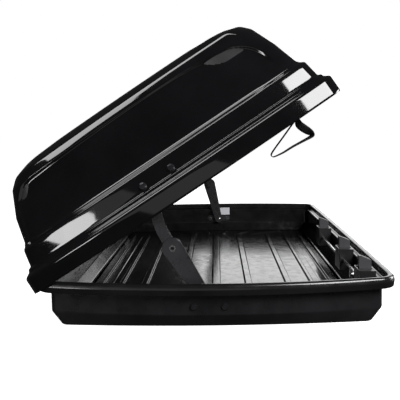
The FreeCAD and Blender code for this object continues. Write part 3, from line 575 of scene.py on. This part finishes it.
# The first prefix that fits a node's name gives its finish; the rest are zinc plated.
FINISH = (
    ("latch_housing", MOULDED), ("lock_escutcheon", MOULDED), ("latch_claw", GREY), ("blank_label", LABEL),
    ("lower_link", STEEL), ("upper_link", STEEL), ("arm_", STEEL), ("hinge_base_leaves", STEEL),
    ("hinge_lid_leaves", STEEL), ("striker_screws", ZINC), ("striker", STEEL),
    ("lid_front_stiffener", STEEL), ("base_bracket_bolts", BOLT), ("lid_bracket_bolts", BOLT),
    ("hinge_base_rivets", BOLT), ("hinge_lid_rivets", BOLT),
)
BEVELLED = ("latch_", "lower_link", "upper_link", "arm_", "hinge_", "striker", "lid_front", "lock_", "key",
            "elbow", "base_bracket", "lid_bracket")

for name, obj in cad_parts.items():
    mat = next((m for prefix, m in FINISH if name.startswith(prefix)), ZINC)
    obj.data.materials.clear()
    obj.data.materials.append(mat)
    if name.startswith(BEVELLED):
        bevel = obj.modifiers.new("edges", "BEVEL")
        bevel.width = 0.0006
        bevel.segments = 2
        bevel.limit_method = "ANGLE"
        bevel.angle_limit = math.radians(40)
        bevel.harden_normals = True


# ---------------------------------------------------------------------- stage


def stage_plane(name, corners, mat):
    mesh = bpy.data.meshes.new(name)
    mesh.from_pydata(corners, [], [tuple(range(len(corners)))])
    obj = bpy.data.objects.new(name, mesh)
    bpy.context.scene.collection.objects.link(obj)
    mesh.materials.append(mat)
    return obj


def paper(name, colour, glow):
    mat = bpy.data.materials.new(name)
    mat.use_nodes = True
    shader = next(n for n in mat.node_tree.nodes if n.type == "BSDF_PRINCIPLED")
    shader.inputs["Base Color"].default_value = (*colour, 1)
    shader.inputs["Roughness"].default_value = 0.95
    shader.inputs["Specular IOR Level"].default_value = 0.0
    shader.inputs["Emission Color"].default_value = (1, 1, 1, 1)
    shader.inputs["Emission Strength"].default_value = glow
    return mat


floor = stage_plane("studio_floor", [(-14, -14, 0), (14, -14, 0), (14, 14, 0), (-14, 14, 0)],
                    paper("floor_paper", (0.6, 0.6, 0.6), 0.975))
floor.visible_glossy = False
floor.visible_diffuse = False

world = bpy.data.worlds.new("studio")
bpy.context.scene.world = world
world.use_nodes = True
tree = world.node_tree
back = tree.nodes["Background"]
path = tree.nodes.new("ShaderNodeLightPath")
level = tree.nodes.new("ShaderNodeMapRange")
level.inputs["To Min"].default_value = 0.035
level.inputs["To Max"].default_value = 1.0
tree.links.new(path.outputs["Is Camera Ray"], level.inputs["Value"])
back.inputs["Color"].default_value = (1, 1, 1, 1)
tree.links.new(level.outputs["Result"], back.inputs["Strength"])


def softbox(name, at, aim, width, height, power, roll=0):
    light = bpy.data.lights.new(name, "AREA")
    light.shape = "RECTANGLE"
    light.size, light.size_y = width, height
    light.energy = power
    obj = bpy.data.objects.new(name, light)
    obj.location = at
    turned = (Vector(aim) - Vector(at)).to_track_quat("-Z", "Y").to_matrix()
    obj.rotation_euler = (turned @ Matrix.Rotation(math.radians(roll), 3, "Z")).to_euler()
    obj.visible_camera = False
    bpy.context.scene.collection.objects.link(obj)
    return obj


softbox("key_right", (1.44, -2.2, 1.66), (0.2, -0.6, 0.58), 1.55, 1.05, 105, roll=24)
softbox("low_left", (-1.5, -2.12, 0.13), (-0.33, -0.62, 0.25), 0.5, 0.28, 6)
softbox("low_front", (-0.6, -2.5, 0.25), (-0.1, -0.6, 0.05), 2.2, 0.5, 1.8)
softbox("backdrop", (1.0, 2.7, 1.0), (0.2, 0.4, 0.1), 2.6, 1.2, 24)
softbox("overhead", (-1.5, -0.5, 2.4), (-0.2, 0, 0.3), 0.8, 2.4, 45)
softbox("right_side", (2.6, 0.4, 0.8), (0.3, 0, 0.3), 1.2, 1.4, 50)

SENSOR_MM = 36
FOCAL_LENGTHS = 560.1 / 400.0  # focal length over the frame's width
camera = bpy.data.cameras.new("camera")
camera.sensor_width = SENSOR_MM
camera.lens = FOCAL_LENGTHS * SENSOR_MM
camera.shift_x = -0.03
camera.shift_y = -0.10
camera_obj = bpy.data.objects.new("camera", camera)
bpy.context.scene.collection.objects.link(camera_obj)
camera_obj.location = (0.0042, -1.9277, 0.5011)
camera_obj.rotation_euler = (math.radians(90 - 4.043), math.radians(0.852), math.radians(0.362))
bpy.context.scene.camera = camera_obj
bpy.context.scene.view_settings.view_transform = "Standard"
bpy.context.scene.view_settings.look = "None"
